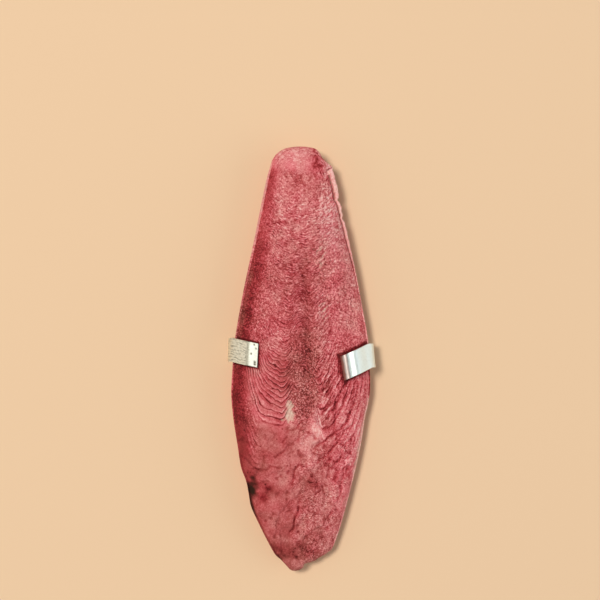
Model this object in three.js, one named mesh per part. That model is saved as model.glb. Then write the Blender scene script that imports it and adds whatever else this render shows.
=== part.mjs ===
import * as THREE from 'three';

// All sizes are in millimetres. X runs across the bone, Y towards its blunt rear end, Z up.
// The bone lies on its hard back, so the chalky belly side looks up.
const LENGTH = 150;
const BACK_LOW_Y = -20;
const BACK_BEND = 1.4;
const BACK_REACH = 15;
const MARGIN_RISE = 6;
const HALF_WIDTH = 24.4;
const RIM_THICKNESS = 0.9;
const FURROW_DEPTH = 0.35;
const LINE_SWEEP = 15;
const RIDGE_HEIGHT = 0.17;
const GROOVE_DEPTH = 0.75;
const GROOVE_HALF_WIDTH = 1.5;
const FACETS_ACROSS = 28;
const END_ROUND = 3;

const STRIP_WIDTH = 8.4;
const STRIP_THICKNESS = 0.45;
const STRIP_FLAT = 9;
const STRIP_RISE = 0.024;
const FOLD_START = 24.3;
const FOLD_X = 25.6;

const BONE_RED = '#b8605c';
const TIN_GREY = '#d9dbcd';

// A smooth curve through [at, value] pairs, held level beyond its ends.
function curveThrough(points) {
  const last = points[points.length - 1];
  const slopes = points.map((_, i) => {
    const before = points[Math.max(i - 1, 0)];
    const after = points[Math.min(i + 1, points.length - 1)];
    return (after[1] - before[1]) / (after[0] - before[0]);
  });
  return (at) => {
    if (at <= points[0][0]) return points[0][1];
    if (at >= last[0]) return last[1];
    const i = points.findIndex((p) => p[0] > at) - 1;
    const span = points[i + 1][0] - points[i][0];
    const t = (at - points[i][0]) / span;
    const ease = t * t * (3 - 2 * t);
    const lean = t * (1 - t) * span * ((1 - t) * slopes[i] - t * slopes[i + 1]);
    return points[i][1] * (1 - ease) + points[i + 1][1] * ease + lean;
  };
}

const mix = (a, b, t) => a + (b - a) * t;
const bump = (d, reach) => Math.exp(-((d / reach) ** 2));
const ramp = (a, b, v) => Math.min(Math.max((v - a) / (b - a), 0), 1);
const step = (a, b, v) => ramp(a, b, v) ** 2 * (3 - 2 * ramp(a, b, v));

// The outline, as X against Y for the two long margins.
const leftEdge = curveThrough([
  [-70.9, -7.5], [-69.2, -9.3], [-64.2, -12.1], [-58.6, -14.9], [-52.2, -17.8], [-48, -18.6],
  [-38.4, -21.3], [-20.8, -24.1], [-12.6, -24.8], [-5.6, -24.5], [7.5, -23.4], [23.4, -20.6],
  [40.4, -17], [55.2, -14], [64, -12.1], [70.1, -10.3],
]);
const rightEdge = curveThrough([
  [-67.4, 10.9], [-56.8, 14.6], [-42, 18.5], [-30.3, 21.1], [-20.1, 22.7], [-11.6, 24.3],
  [-5.2, 24.3], [9.6, 23.2], [20.9, 21.1], [30.8, 19.3], [42.1, 16.9], [51.3, 14.8],
  [60.2, 13], [67.9, 10.9],
]);

// The two short ends, as Y against X: a ragged broken front and a blunt rear.
const frontEnd = curveThrough([
  [-7.5, -70.9], [-4, -74.5], [-2.6, -75], [-0.4, -74.5], [1, -72.7], [5.2, -71.3], [10.9, -67.4],
]);
const rearEnd = curveThrough([
  [-10.3, 70.1], [-8.9, 72.2], [-6.1, 74.1], [-0.4, 75], [5.2, 74.1], [7, 71.2], [10.9, 67.9],
]);

// How far the thin margin stands out beyond the body: a wide chipped ledge on the right rear.
const rightLedge = curveThrough([[10, 0.6], [33, 0.8], [45, 1.4], [54, 1.7], [58, 2.3], [66, 2.3], [70, 1]]);
const leftLedge = curveThrough([[0, 0.6], [30, 0.7], [66, 0.6]]);

// Height of the chalky body above the margin, along the bone.
const domeHeight = curveThrough([
  [-75, 1.8], [-68, 3], [-56, 5], [-40, 7.2], [-24, 8.6], [-12, 8.9], [5, 8.3], [25, 6.7],
  [45, 4.6], [60, 3], [75, 2.6],
]);

const chips = (y) => 0.7 * bump(y - 56.3, 1.3) + 0.6 * bump(y - 49.6, 1.3);
const backLow = (y) => BACK_BEND * (Math.sqrt(1 + ((y - BACK_LOW_Y) / BACK_REACH) ** 2) - 1);
const halfWidth = (y) => (rightEdge(y) - leftEdge(y)) / 2;
const marginZ = (y) => backLow(y) + MARGIN_RISE * (halfWidth(y) / HALF_WIDTH) ** 1.3;

// The hard back: arched across, with a broad middle rib between two shallow furrows.
function backZ(u, y) {
  const arch = Math.abs(u) ** 2.1 * (marginZ(y) - backLow(y));
  const furrows = FURROW_DEPTH * bump(Math.abs(u) - 0.3, 0.12) * step(70, 40, y);
  return backLow(y) + arch + furrows;
}

// The belly side: a dome with a middle groove, a rear pad with a dimple, a chip and an edge dent.
function bellyZ(u, x, y) {
  const dome = domeHeight(y) * (1 - Math.min(Math.abs(u), 1) ** 2.4) ** 0.62;
  const grooveX = 1.3 + 1.4 * step(32, -20, y);
  const groove = step(42, 24, y) * step(-25, -17, y) * bump(x - grooveX, GROOVE_HALF_WIDTH);
  const pad = 0.45 * step(64.5, 67.5, y);
  const dimple = 0.9 * bump(Math.hypot(x + 0.8, y - 64), 2);
  const chip = 0.5 * bump(x + 4.1, 1.6) * step(-24, -21, y) * step(-11.5, -14, y);
  const dent = 1.1 * bump(x + 17.8, 2.6) * bump(y + 46.2, 4);
  return marginZ(y) + RIM_THICKNESS + dome + pad - GROOVE_DEPTH * groove - dimple - chip - dent;
}

// How far back a growth line is swept at u: two forward lobes on the belly, one plain arc behind.
function sweep(u, onBelly) {
  const lobes = 0.32 * bump(u + 0.29, 0.16) + 0.2 * bump(u - 0.3, 0.12);
  return 1.15 * u * u - (onBelly ? lobes : 0);
}

// Y of the point at u on the growth line that is `along` millimetres from the front end.
function lineY(u, along, onBelly) {
  const s = along / LENGTH;
  const front = frontEnd(mix(leftEdge(-75), rightEdge(-75), (u + 1) / 2));
  const rear = rearEnd(mix(leftEdge(75), rightEdge(75), (u + 1) / 2));
  return mix(front, rear, s) + LINE_SWEEP * Math.sin(Math.PI * s) * sweep(u, onBelly);
}

// The growth lines that carry the facets, closer together where the ridges are.
function growthLines() {
  const lines = [0, 0.6, 1.8];
  while (lines[lines.length - 1] < LENGTH - 4.2) {
    const along = lines[lines.length - 1];
    lines.push(along + mix(2.5, 1.45, step(36, 50, along) * step(128, 116, along)));
  }
  return lines.concat([LENGTH - 1.6, LENGTH - 0.6, LENGTH]);
}

// One closed ring of points round the bone at a growth line.
function ringAt(along, index) {
  const toEnd = Math.min(along, LENGTH - along, END_ROUND) / END_ROUND;
  const fullness = mix(along < LENGTH / 2 ? 0.5 : 0.25, 1, Math.sqrt(toEnd * (2 - toEnd)));
  const belly = [];
  const back = [];
  const add = (list, x, y, z) => {
    const middle = marginZ(y) + RIM_THICKNESS / 2;
    list.push(new THREE.Vector3(x, y, mix(middle, z, fullness)));
  };
  for (let i = 0; i <= FACETS_ACROSS; i++) {
    const t = (2 * i) / FACETS_ACROSS - 1;
    const u = t * (1.35 - 0.35 * t * t);
    const y = lineY(u, along, true);
    const left = leftEdge(y) + leftLedge(y);
    const right = rightEdge(y) - rightLedge(y) - 0.4 * chips(y);
    const x = mix(left, right, (u + 1) / 2);
    const striated = step(-26, -20, y) * step(56, 44, y) * step(0.92, 0.72, Math.abs(u));
    const ridge = RIDGE_HEIGHT * striated * (index % 2 ? 1 : -1);
    add(belly, x, y, bellyZ(u, x, y) + ridge);
  }
  const rims = [-1, 1].map((side) => {
    const y = lineY(side, along, true);
    const edge = side < 0 ? leftEdge(y) : rightEdge(y) - chips(y);
    const ledge = side < 0 ? leftLedge(y) : rightLedge(y);
    const top = marginZ(y) + RIM_THICKNESS;
    const rim = [];
    add(rim, edge - side * ledge * 0.6, y, top + 0.15);
    add(rim, edge - side * 0.12, y, top - 0.05);
    add(rim, edge, y, top - 0.45);
    return rim;
  });
  for (const u of [1, 0.84, 0.64, 0.45, 0.3, 0.15, 0, -0.15, -0.3, -0.45, -0.64, -0.84, -1]) {
    const yBack = lineY(u, along, false);
    const right = rightEdge(yBack) - chips(yBack) * step(0.8, 1, u);
    add(back, mix(leftEdge(yBack), right, (u + 1) / 2), yBack, backZ(u, yBack));
  }
  return { belly, all: [...belly, ...rims[1], ...back, ...rims[0].reverse()] };
}

// Adds the two triangles of a four-cornered facet.
function addFacet(indices, a, b, c, d) {
  indices.push(a, b, c, a, c, d);
}

// Closes an end between the belly points and the points of the rims and back below them.
function addEnd(indices, first, size, bellyCount, isFront) {
  let top = 0;
  let low = size;
  while (top < bellyCount - 1 || low > bellyCount) {
    const topShare = top / (bellyCount - 1);
    const lowShare = (size - low) / (size - bellyCount);
    const a = first + top;
    const b = first + (low % size);
    const moveTop = top < bellyCount - 1 && (low <= bellyCount || topShare <= lowShare);
    const c = first + (moveTop ? top + 1 : low - 1);
    if (isFront) indices.push(a, b, c);
    else indices.push(a, c, b);
    if (moveTop) top += 1;
    else low -= 1;
  }
}

function geometryFrom(points, indices) {
  const geometry = new THREE.BufferGeometry().setFromPoints(points);
  geometry.setIndex(indices);
  geometry.computeVertexNormals();
  return geometry;
}

function meshOf(name, geometry, color, roughness, metalness) {
  const mesh = new THREE.Mesh(geometry, new THREE.MeshStandardMaterial({ color, roughness, metalness }));
  mesh.name = name;
  return mesh;
}

function cuttlebone() {
  const rings = growthLines().map(ringAt);
  const size = rings[0].all.length;
  const points = rings.flatMap((ring) => ring.all);
  const indices = [];
  for (let row = 0; row + 1 < rings.length; row++) {
    for (let i = 0; i < size; i++) {
      const next = (i + 1) % size;
      const here = row * size;
      addFacet(indices, here + i, here + next, here + size + next, here + size + i);
    }
  }
  addEnd(indices, 0, size, rings[0].belly.length, true);
  addEnd(indices, points.length - size, size, rings[0].belly.length, false);
  return meshOf('cuttlebone', geometryFrom(points, indices), BONE_RED, 0.85, 0);
}

// One tab from its tip to the fold, as [distance from the middle line, height] pairs.
function tabPath(side, heights, tip, lean) {
  const foldY = side < 0 ? 3.4 : 1.4;
  const reach = FOLD_START - Math.abs(tip[0]);
  return heights.map(([x, z]) => ({ x: side * x, y: mix(foldY, tip[1], (FOLD_START - x) / reach), z, lean }));
}

// The fold round the margin, from the belly side to the back.
function foldPath(side, lean) {
  const y = side < 0 ? 3.4 : 1.4;
  const bend = [[FOLD_START, 11.1], [25.2, 10], [FOLD_X, 8.7], [25.45, 7.3], [24.5, 6]];
  return bend.map(([x, z], i) => ({ x: side * x, y, z, lean: lean * (1 - i / 5) }));
}

// The back of the clip: flat in the middle, rising with the back of the bone to each side.
function backPath() {
  const half = [22.5, 20, 17.5, 15, 12.5, 10.5, STRIP_FLAT];
  const xs = [...half.map((x) => -x), ...half.reverse()];
  return xs.map((x) => {
    const y = mix(3.4, 1.4, (x + FOLD_X) / (2 * FOLD_X));
    const z = STRIP_THICKNESS / 2 + STRIP_RISE * (Math.abs(x) - STRIP_FLAT) ** 2;
    return { x, y, z, lean: 0 };
  });
}

function holderClip() {
  const leftTab = [[15.2, 15], [17, 15.1], [18.4, 15.1], [19, 14.9], [21, 13.6], [22.8, 12.35]];
  const rightTab = [
    [14.6, 15.26], [15.2, 15.62], [16.2, 15.95], [17.6, 15.98], [19.2, 15.3], [21, 13.9], [22.8, 12.5],
  ];
  const path = [
    ...tabPath(-1, leftTab, [-15.2, 1.5], 0.05),
    ...foldPath(-1, 0.05),
    ...backPath(),
    ...foldPath(1, -0.17).reverse(),
    ...tabPath(1, rightTab, [14.6, -3], -0.17).reverse(),
  ];
  const points = [];
  const indices = [];
  path.forEach((at, i) => {
    const before = path[Math.max(i - 1, 0)];
    const after = path[Math.min(i + 1, path.length - 1)];
    const run = new THREE.Vector3(after.x - before.x, after.y - before.y, after.z - before.z);
    const across = new THREE.Vector3(at.lean, 1, 0).multiplyScalar(STRIP_WIDTH / 2);
    const out = run.clone().cross(across).setLength(STRIP_THICKNESS / 2);
    const centre = new THREE.Vector3(at.x, at.y, at.z);
    for (const [a, b] of [[1, 1], [-1, 1], [-1, -1], [1, -1]]) {
      points.push(centre.clone().addScaledVector(across, a).addScaledVector(out, b));
    }
    if (i === 0) return;
    for (let k = 0; k < 4; k++) {
      const here = 4 * (i - 1);
      const next = (k + 1) % 4;
      addFacet(indices, here + k, here + next, here + 4 + next, here + 4 + k);
    }
  });
  const end = points.length - 4;
  addFacet(indices, 3, 2, 1, 0);
  addFacet(indices, end, end + 1, end + 2, end + 3);
  return meshOf('holder_clip', geometryFrom(points, indices), TIN_GREY, 0.35, 1);
}

const group = new THREE.Group();
group.add(cuttlebone(), holderClip());

export default group;
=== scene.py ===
import math

import bmesh
import bpy
import numpy as np
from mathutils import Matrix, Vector, noise


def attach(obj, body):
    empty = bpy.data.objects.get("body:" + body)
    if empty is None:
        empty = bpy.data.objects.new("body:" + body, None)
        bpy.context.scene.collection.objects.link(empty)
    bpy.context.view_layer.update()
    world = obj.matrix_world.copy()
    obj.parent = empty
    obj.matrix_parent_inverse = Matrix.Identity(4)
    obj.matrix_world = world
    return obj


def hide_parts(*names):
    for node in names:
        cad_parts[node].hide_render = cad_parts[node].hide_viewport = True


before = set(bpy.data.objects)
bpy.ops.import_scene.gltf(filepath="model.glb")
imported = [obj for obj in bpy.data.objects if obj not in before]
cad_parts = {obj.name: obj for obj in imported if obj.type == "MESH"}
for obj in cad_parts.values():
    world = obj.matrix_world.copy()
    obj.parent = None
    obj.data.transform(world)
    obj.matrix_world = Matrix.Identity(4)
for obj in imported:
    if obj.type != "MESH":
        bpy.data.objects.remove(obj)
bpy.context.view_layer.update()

MM = 0.001


# The cuttlebone is the inner shell of a cuttlefish, grown layer on layer of brittle white chalk
# over a thin hard back. It was dipped in red food dye, which sank in unevenly and left the chips
# pale. The hollows and the left edge are darkest, partly from the dye and partly from painted shade.
BONE_LENGTH = 150.0
BACK_LOW_Y = -20.0
BACK_BEND = 1.4
BACK_REACH = 15.0
MARGIN_RISE = 6.0
HALF_WIDTH = 24.4
RIM_THICKNESS = 0.9
FURROW_DEPTH = 0.35
LINE_SWEEP = 15.0
GROOVE_DEPTH = 0.75
FRONT_ROUND = 2.2
REAR_ROUND = 3.0
GROWTH_START = (-0.8, 64.0)
LINE_SPACING = 0.95

BELLY_COLUMNS = 140
RIM_COLUMNS = 6
BACK_COLUMNS = 70
ROWS = 430
END_ROWS = [0, 0.04, 0.12, 0.26, 0.46, 0.74, 1.08, 1.45]
EVEN_ROWS_FROM = 1.85


def smooth_curve(*points):
    """A smooth curve through (place, value) pairs, held level beyond its ends."""
    at, value = np.array(points, float).T
    before = np.r_[0, np.arange(len(at) - 1)]
    after = np.r_[np.arange(1, len(at)), len(at) - 1]
    slope = (value[after] - value[before]) / (at[after] - at[before])

    def read(place):
        place = np.clip(place, at[0], at[-1])
        i = np.clip(np.searchsorted(at, place, side="right") - 1, 0, len(at) - 2)
        span = at[i + 1] - at[i]
        t = (place - at[i]) / span
        ease = t * t * (3 - 2 * t)
        lean = t * (1 - t) * span * ((1 - t) * slope[i] - t * slope[i + 1])
        return value[i] * (1 - ease) + value[i + 1] * ease + lean

    return read


def fade(start, end, place):
    """Rises smoothly from 0 at start to 1 at end."""
    t = np.clip((place - start) / (end - start), 0, 1)
    return t * t * (3 - 2 * t)


def spot(distance, reach):
    """1 at no distance, falling softly to almost nothing at twice the reach."""
    return np.exp(-((distance / reach) ** 2))


def mottle(x, y, z, size, seed):
    """Uneven from -1 to 1, in lumps of the given size in millimetres."""
    places = np.c_[x, y, z] / size + seed
    return np.array([noise.noise(Vector(place)) for place in places])


left_edge = smooth_curve(
    (-70.9, -7.5), (-69.2, -9.3), (-64.2, -12.1), (-58.6, -14.9), (-52.2, -17.8), (-48, -18.6),
    (-43.4, -19.5), (-38.4, -21.3), (-29.9, -22.7), (-20.8, -24.1), (-12.6, -24.8), (-5.6, -24.5),
    (1.5, -24.0), (7.5, -23.4), (23.4, -20.6), (40.4, -17), (55.2, -14), (64, -12.1), (70.1, -10.3),
)
right_edge = smooth_curve(
    (-67.4, 10.9), (-63.9, 12.3), (-56.8, 14.6), (-42, 18.5), (-30.3, 21.1), (-20.1, 22.7),
    (-17.2, 23.4), (-11.6, 24.3), (-5.2, 24.3), (3.3, 24.0), (9.6, 23.2), (20.9, 21.1), (30.8, 19.3),
    (42.1, 16.9), (51.3, 14.8), (56.3, 13.7), (60.2, 13), (64.4, 11.9), (67.9, 10.9),
)
front_end = smooth_curve(
    (-7.5, -70.9), (-5.7, -72.7), (-4, -74.5), (-2.6, -75), (-0.4, -74.6), (0.6, -73.8), (1.1, -72.7),
    (3.1, -72.0), (5.2, -71.3), (6.1, -70.6), (8.7, -69.2), (10.9, -67.4),
)
rear_end = smooth_curve(
    (-10.3, 70.1), (-8.9, 72.2), (-6.1, 74.1), (-3.3, 74.8), (-0.4, 75), (2.4, 74.8), (5.2, 74.1),
    (6.6, 72.6), (7.4, 71.0), (9.1, 69.4), (10.9, 67.9),
)
right_ledge = smooth_curve(
    (-20, 0.5), (10, 0.5), (25, 0.6), (33, 0.8), (42, 1.4), (50, 1.5), (54, 1.7), (58, 2.4),
    (66, 2.5), (69.3, 2.4), (71, 1.2),
)
left_ledge = smooth_curve((-20, 0.4), (5, 0.5), (20, 0.7), (60, 0.8), (68, 0.6))
dome_height = smooth_curve(
    (-75, 1.8), (-68, 3), (-56, 5), (-40, 7.2), (-24, 8.6), (-12, 8.9), (5, 8.3), (25, 6.7),
    (45, 4.6), (60, 3), (75, 2.6),
)


def half_width(y):
    return (right_edge(y) - left_edge(y)) / 2


def back_low(y):
    return BACK_BEND * (np.sqrt(1 + ((y - BACK_LOW_Y) / BACK_REACH) ** 2) - 1)


def margin_height(y):
    return back_low(y) + MARGIN_RISE * (half_width(y) / HALF_WIDTH) ** 1.3


def edge_chips(y):
    """How far bites are broken out of the right ledge."""
    bites = 0.8 * spot(y - 56.2, 0.9) + 0.7 * spot(y - 49.6, 0.8) + 0.35 * spot(y - 52.3, 0.6)
    return bites + 0.12 * fade(20, 40, y) * (1 + np.sin(y * 2.9) * np.sin(y * 1.3))


bone_bmesh = bmesh.new()
columns = BELLY_COLUMNS + 2 * RIM_COLUMNS + BACK_COLUMNS
bmesh.ops.create_grid(bone_bmesh, x_segments=columns, y_segments=ROWS, size=1.0)
flat = np.array([vertex.co for vertex in bone_bmesh.verts])
column = np.rint((flat[:, 0] + 1) / 2 * columns).astype(int)
row = np.rint((flat[:, 1] + 1) / 2 * ROWS).astype(int)

# Where each row lies along the bone, closer together where the ends round over.
middle_rows = ROWS + 1 - 2 * len(END_ROWS)
row_places = np.r_[
    END_ROWS,
    np.linspace(EVEN_ROWS_FROM, BONE_LENGTH - EVEN_ROWS_FROM, middle_rows),
    [BONE_LENGTH - place for place in reversed(END_ROWS)],
]
along = row_places[row]

# Which strip of the ring each column belongs to, and how far across that strip it is.
back_start = BELLY_COLUMNS + RIM_COLUMNS
back_end = back_start + BACK_COLUMNS
on_belly = column <= BELLY_COLUMNS
on_back = (column >= back_start) & (column <= back_end)
on_right_rim = (column > BELLY_COLUMNS) & (column < back_start)
on_left_rim = column > back_end
closing = column == columns
over_belly = 2 * column / BELLY_COLUMNS - 1
over_back = 1 - 2 * (column - back_start) / BACK_COLUMNS
across = np.where(on_belly, over_belly, over_back)
across = across * (1.15 - 0.15 * across**2)
across = np.where(on_right_rim, 1.0, np.where(on_left_rim, -1.0, across))

# Rows follow the growth lines: two forward lobes on the belly, one plain arc behind.
lobes = 0.32 * spot(across + 0.29, 0.16) + 0.2 * spot(across - 0.3, 0.12)
sweep = 1.15 * across**2 - np.where(on_belly, lobes, 0)
share = along / BONE_LENGTH
front_y, rear_y = -BONE_LENGTH / 2, BONE_LENGTH / 2
front_x = left_edge(front_y) + (right_edge(front_y) - left_edge(front_y)) * (across + 1) / 2
rear_x = left_edge(rear_y) + (right_edge(rear_y) - left_edge(rear_y)) * (across + 1) / 2
y = front_end(front_x) * (1 - share) + rear_end(rear_x) * share
y = y + LINE_SWEEP * np.sin(np.pi * share) * sweep

# Near both ends the section thins to a rounded edge and the ledges run out.
to_end = np.minimum(along, BONE_LENGTH - along)
end_round = np.where(along < BONE_LENGTH / 2, FRONT_ROUND, REAR_ROUND)
rounding = np.clip(to_end / end_round, 0, 1)
fullness = np.sqrt(rounding * (2 - rounding))
ledge_room = fade(0, 3.0, to_end)
left_body = left_edge(y) + left_ledge(y) * ledge_room
right_body = right_edge(y) - (right_ledge(y) + 0.3 * edge_chips(y)) * ledge_room
left_rim = left_edge(y)
right_rim = right_edge(y) - edge_chips(y) * ledge_room

x = np.where(
    on_belly,
    left_body + (right_body - left_body) * (across + 1) / 2,
    left_rim + (right_rim - left_rim) * (across + 1) / 2,
)
top = margin_height(y) + RIM_THICKNESS

# The rim steps from the body's foot out over the ledge and down to the hard back.
rim_step = np.where(on_right_rim, column - BELLY_COLUMNS, columns - column)
rim_step = np.clip(rim_step, 0, RIM_COLUMNS)
RIM_OUT = np.array([1.0, 0.85, 0.5, 0.2, 0.03, 0.0, 0.0])
RIM_DROP = np.array([0.1, 0.0, 0.02, 0.0, 0.25, 0.6, 0.9])
CREVICE_DROP = np.array([0.0, 0.9, 0.15, 0.0, 0.0, 0.0, 0.0])
crevice = np.where(on_right_rim, fade(24, 40, y), 0.15)
rim_drop = RIM_DROP[rim_step] + CREVICE_DROP[rim_step] * crevice
ledge_width = np.where(on_right_rim, right_rim - right_body, left_body - left_rim)
x = np.where(on_right_rim, right_rim - ledge_width * RIM_OUT[rim_step], x)
x = np.where(on_left_rim, left_rim + ledge_width * RIM_OUT[rim_step], x)

z_guess = top + dome_height(y)


def uneven(size, seed):
    """Uneven from -1 to 1 over the bone, in lumps of the given size in millimetres."""
    return mottle(x, y, z_guess, size, seed)


broad = uneven(7.0, 3.1)
lumpy = uneven(3.8, 7.3)
middling = uneven(2.0, 11.7)
knobbly = uneven(1.25, 17.9)
fine = uneven(0.8, 23.9)


def stretch(y0, y1, y2, y3):
    """1 between y1 and y2 along the bone, fading to 0 at y0 and y3."""
    return fade(y0, y1, y) * fade(y3, y2, y)


def patch(at_x, at_y, size, wide=1.0, tall=1.0, ragged=0.0):
    """A soft patch round a place, with an edge that ragged pushes in and out."""
    return spot(np.hypot((x - at_x) * wide, (y - at_y) * tall) + ragged, size)


# Growth distance: how far the growth had come when each spot formed, in millimetres from the
# dimple at the rear. Each line is a copy of one wavy shape, wider and further on than the last.
from_start = np.hypot(x - GROWTH_START[0], GROWTH_START[1] - y)
bearing = np.degrees(np.arctan2(x - GROWTH_START[0], GROWTH_START[1] - y))
line_shape = smooth_curve(
    (-180, 0.08), (-60, 0.1), (-45, 0.13), (-34, 0.2), (-28, 0.3), (-24, 0.43), (-21, 0.56),
    (-18.5, 0.69), (-15, 0.815), (-12, 0.9), (-9.5, 0.955), (-6.5, 0.985), (-4.3, 1.0),
    (-2.6, 0.965), (-1, 0.915), (0.6, 0.89), (2.2, 0.92), (4.2, 0.985), (6, 0.985), (8.5, 0.94),
    (12, 0.87), (15.4, 0.79), (19, 0.67), (24, 0.44), (28, 0.3), (34, 0.2), (45, 0.13),
    (60, 0.1), (180, 0.08),
)
reach = 1 + (line_shape(bearing) - 1) * fade(14, 58, from_start)
reach = reach + 0.017 * spot(bearing + 9.2, 2.8) * fade(79, 88, from_start / reach)
bark = fade(2.5, 5.5, bearing) * fade(56, 72, from_start)
clean_lobe = fade(-1.2, -2.6, bearing) * fade(54, 68, from_start)
wander = 0.8 + 0.1 * bark - 0.5 * clean_lobe
scallops = 1.1 * np.abs(lumpy) + 0.5 * np.abs(middling) + 0.15 * knobbly
growth = from_start / reach + 0.9 * broad + wander * middling
growth = growth + clean_lobe * scallops + 0.12 * knobbly

# The lines lie one spacing apart at first, and wider apart once the growth slowed.
SLOWING_FROM = 42
SLOWING_FOR = 43.7
SLOWING_RATE = 0.0069
FULL_SLOWING = 0.603
late = np.maximum(growth - SLOWING_FROM, 0)
slowing = np.minimum(late, SLOWING_FOR)
line_count = growth / LINE_SPACING - SLOWING_RATE * slowing**2
line_count = line_count - FULL_SLOWING * (late - slowing)
line_count = line_count - 0.2 * bark * np.maximum(growth - 60, 0)
line_part = line_count - np.floor(line_count)
around = np.radians(bearing) * from_start


def drawn_out(per_line, per_mm, seed):
    """Uneven from -1 to 1, drawn out along the growth lines."""
    return mottle(line_count * per_line, around * per_mm, 0 * x, 1.0, seed)


# How strongly the growth lines stand out from place to place.
from_left = x - left_edge(y)
from_right = right_edge(y) - x
flank = fade(9, 15, np.abs(bearing + 1)) * fade(22, 34, from_start) * (1 - clean_lobe)
flank = flank * fade(-8, 2, y)
rough_width = 5.4 * np.sqrt(np.clip((y + 23.5) / 12, 0, 1))
rough_centre = fade(1.0, -1.0, np.abs(x - 0.6) - rough_width + 1.3 * middling) * fade(14, 2, y)
last_line = growth - 0.6 * broad
lined = fade(90, 87, last_line)

# The left lobe has clean wavy lines, and one limb of them runs forward beside the edge.
limb_width = from_left + 0.13 * np.maximum(-22 - y, 0) + 0.6 * middling
left_limb = fade(9.6, 7.8, limb_width) * stretch(-44, -33, -20, -14)
left_lobe = clean_lobe * fade(3.2, 4.4, from_left + 0.8 * middling)
left_lobe = left_lobe * np.maximum(fade(88.6, 87.4, last_line), 0.42 * left_limb)
left_lobe = left_lobe * np.clip(0.85 + 0.9 * uneven(3.0, 91.7), 0.25, 1.1)
right_lobe = bark * fade(-47, -38, y + 1.5 * lumpy) * fade(0.3, 2.0, from_right)
right_lobe = right_lobe * np.maximum(fade(95, 91, last_line), fade(9, 13, bearing + 2 * middling))
striated = fade(5, 26, growth) * lined * (1 - 0.9 * rough_centre) * (1 - bark) * (1 - clean_lobe)
striated = striated * (1 - 0.7 * fade(4.0, 2.2, from_left))
striated = striated * (1 - 0.85 * fade(6, 10, x)) * (1 - 0.6 * fade(-10, -14, x))
patches = np.clip(0.75 + 1.1 * lumpy, 0.1, 1.3)
ridge_height = (0.06 * striated + 0.06 * right_lobe) * patches + 0.13 * left_lobe
shingle = line_part - fade(0.8, 1.0, line_part)
ridges = 2 * ridge_height * (shingle - 0.4)
# Between the lines run short broken scales, about 1.2 mm apart and 3 mm long.
scales = drawn_out(0.8, 0.34, 71.3)
# The loculus is the last chamber in front of the lines, smoother on its left than its right.
loculus = fade(87, 91, last_line) * (1 - right_lobe) * (1 - left_lobe) * fade(-20, -26, y)
calm = loculus * fade(4, -6, x + 4 * lumpy)
# On the right lobe the lines broke up into short wavy splits, like bark.
bark_zone = fade(4.5, 8.0, x + lumpy) * fade(0.8, 2.2, from_right) * stretch(-53, -45, -9, -3)
bark_zone = bark_zone * (1 - patch(9, -25, 2.5))
split_wave = drawn_out(0.75, 0.22, 57.7) + 0.25 * knobbly + 0.15 * middling
splits = spot(split_wave, 0.14) * bark_zone * np.clip(0.8 + 1.5 * uneven(3.2, 61.3), 0, 1.2)


def crack(points, width, depth):
    """A drying crack along a line of points, in millimetres."""
    wander_x = x + 0.5 * middling
    wander_y = y + 0.5 * knobbly
    nearest = np.full(x.shape, 99.0)
    for (ax, ay), (bx, by) in zip(points, points[1:]):
        run = (bx - ax) ** 2 + (by - ay) ** 2
        t = np.clip(((wander_x - ax) * (bx - ax) + (wander_y - ay) * (by - ay)) / run, 0, 1)
        off_x = wander_x - ax - t * (bx - ax)
        off_y = wander_y - ay - t * (by - ay)
        nearest = np.minimum(nearest, np.hypot(off_x, off_y))
    return depth * spot(nearest, width)


cracks = np.max(
    [
        crack([(6.9, -24.4), (9.9, -23.7), (12.5, -20.3), (13.7, -17.3), (16.1, -12.3)], 0.28, 0.4),
        crack([(4.6, -30.9), (7.5, -28.5), (11.3, -25.9), (15.5, -22.6), (17.5, -17.6)], 0.32, 0.55),
        crack([(5.5, -35.6), (8.7, -33.8), (11.9, -30.0), (15.2, -25.0), (17.2, -23.8)], 0.32, 0.5),
        crack([(8.1, -15.9), (10.4, -15.6), (12.2, -13.2), (13.4, -11.5)], 0.28, 0.35),
        crack([(-5.2, -24.9), (-1.6, -24.0), (-0.4, -21.8)], 0.3, 0.4),
        crack([(-1.1, -27.8), (-0.6, -25.6), (0.0, -24.3)], 0.28, 0.4),
        crack([(-9.3, -33.9), (-7.4, -33.0), (-5.9, -31.8)], 0.32, 0.5),
        crack([(-6.6, -28.8), (-4.9, -26.8)], 0.3, 0.35),
        crack([(-16.6, -38.2), (-12.4, -38.9), (-10.9, -37.2), (-7.4, -37.9)], 0.3, 0.4),
        crack([(-2.8, -42.7), (-2.5, -38.6), (-0.8, -36.9), (1.0, -37.3)], 0.36, 0.5),
        crack([(4.6, -47.8), (6.8, -46.0)], 0.36, 0.45),
        crack([(7.2, -44.6), (8.2, -46.9)], 0.32, 0.5),
        crack([(-0.9, -51.4), (-1.3, -54.0), (-2.7, -56.5), (-2.8, -59.4), (-4.2, -60.6)], 0.34, 0.55),
        crack([(9.2, -41.5), (9.6, -38.3), (9.7, -35.0), (10.2, -33.2)], 0.3, 0.4),
        crack([(11.9, -36.8), (14.0, -33.8), (14.0, -31.8), (17.2, -27.9)], 0.3, 0.45),
        crack([(14.6, -42.0), (14.6, -38.9), (15.5, -35.3), (17.2, -33.0)], 0.3, 0.4),
        crack([(10.7, -53.2), (9.3, -56.0)], 0.34, 0.4),
        crack([(-10.6, 47.4), (-8.6, 48.3), (-5.2, 48.0)], 0.3, 0.35),
        crack([(-0.6, 31.6), (0.4, 29.3)], 0.3, 0.35),
        crack([(8.8, 44.3), (7.2, 42.2)], 0.28, 0.3),
        crack([(-21.3, -2.0), (-19.9, -12.0), (-17.3, -22.0), (-13.8, -31.0), (-12.6, -36.0)], 0.4, 0.12),
    ],
    axis=0,
)
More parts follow.
